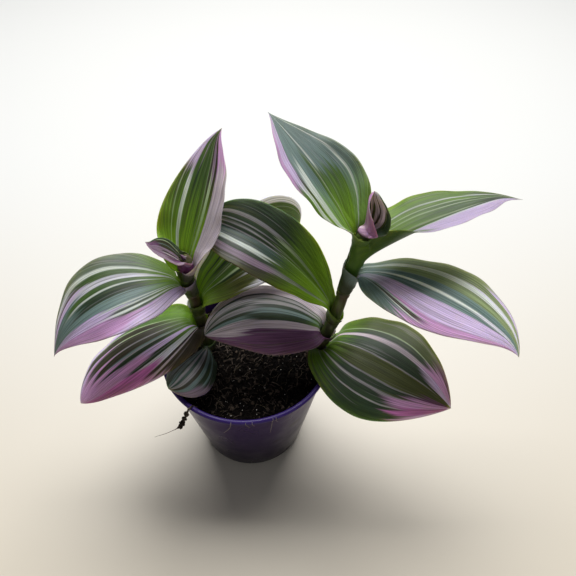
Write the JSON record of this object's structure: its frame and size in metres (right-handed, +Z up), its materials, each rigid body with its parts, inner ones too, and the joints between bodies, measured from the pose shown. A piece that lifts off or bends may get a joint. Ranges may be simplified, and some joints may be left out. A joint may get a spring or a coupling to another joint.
{
  "type": "potted tradescantia",
  "caption": "Young trailing house plant with striped green, cream and lilac leaves, on upright fleshy stems in a small tapered round plastic pot of peat.",
  "frame": {"origin": "centre of the pot's flat base, on the surface that it stands on", "axes": "+Z up along the pot's axis; +X to the right and +Y away from the camera in the picture's view"},
  "size_m": [0.1444, 0.0688, 0.1251],
  "materials": {
    "pot_plastic": "moulded violet plastic, satin, with a brighter lip",
    "soil": "dark moist peat with brown fibres and white specks",
    "stem": "fleshy dark olive green stem, flushed with red-brown",
    "leaf": "leaf striped along its length in dark green, yellow-green, cream and lilac-pink, with a soft sheen",
    "bud": "young rolled leaf, mauve-grey striped with brown-green"
  },
  "bodies": {
    "root": {"pot": "pot_plastic", "soil": "soil", "stem_left": "stem", "stem_right": "stem", "leaf_left_1": "leaf", "leaf_left_2": "leaf", "leaf_left_3": "leaf", "leaf_left_4": "leaf", "leaf_left_5": "leaf", "leaf_right_1": "leaf", "leaf_right_2": "leaf", "leaf_right_3": "leaf", "leaf_right_4": "leaf", "leaf_right_5": "leaf", "leaf_right_6": "leaf", "bud_left": "bud", "bud_right": "bud"}
  },
  "joints": []
}
